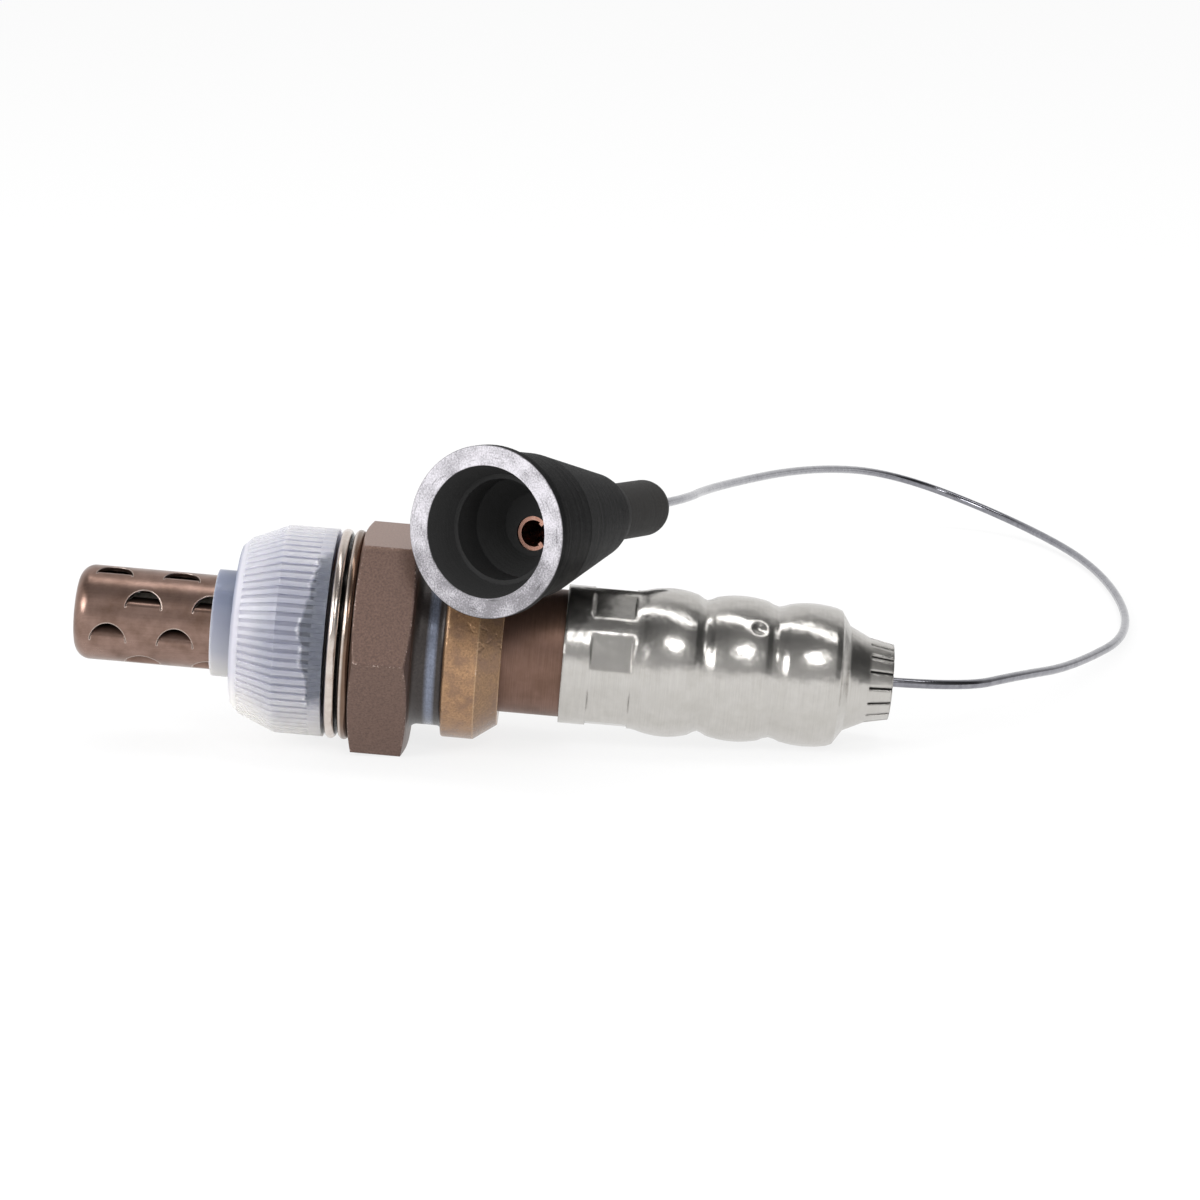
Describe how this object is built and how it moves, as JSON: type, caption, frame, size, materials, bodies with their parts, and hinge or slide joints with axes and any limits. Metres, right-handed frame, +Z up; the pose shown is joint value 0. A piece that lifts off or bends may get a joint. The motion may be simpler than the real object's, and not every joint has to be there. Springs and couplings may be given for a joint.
{
  "type": "oxygen_sensor",
  "caption": "Exhaust oxygen sensor with a louvered shield, a capped thread, a wrench hex, a crimped steel sleeve and a thin lead that ends in a rubber boot with a socket terminal.",
  "frame": {"origin": "bottom centre of the sensor's box, without the lead, boot and terminal", "axes": "X along the sensor towards the wire end, Y away from the front of the picture, Z up"},
  "size_m": [0.1181, 0.1351, 0.0342],
  "materials": {
    "brown_steel": "heat-browned, fine turned grain",
    "taupe_steel": "satin, drawn sheet",
    "bright_steel": "bright drawn sheet",
    "plain_steel": "plain machined",
    "milky_plastic": "milky, translucent moulding",
    "zirconia": "sintered, matte",
    "alumina": "sintered, matte",
    "pressed_talc": "pressed powder",
    "black_rubber": "matte moulded rubber",
    "copper_alloy": "rolled coppery sheet",
    "bare_strands": "bare copper strands",
    "wire_jacket": "glossy dark grey jacket"
  },
  "bodies": {
    "root": {"metal_shell": "brown_steel", "louvered_shield": "taupe_steel", "crush_gasket": "bright_steel", "thread_cap": "milky_plastic", "zirconia_thimble": "zirconia", "seat_washer": "plain_steel", "talc_seal": "pressed_talc", "ceramic_bush": "alumina", "packing_ring": "plain_steel", "press_ring": "plain_steel", "cover_tube": "brown_steel", "contact_bushing": "plain_steel", "support_insulator": "alumina", "disc_spring": "plain_steel", "outer_sleeve": "bright_steel", "grommet": "black_rubber", "wire_core": "bare_strands", "rubber_boot": "black_rubber", "socket_terminal": "copper_alloy", "lead_wire": "wire_jacket"}
  },
  "joints": []
}
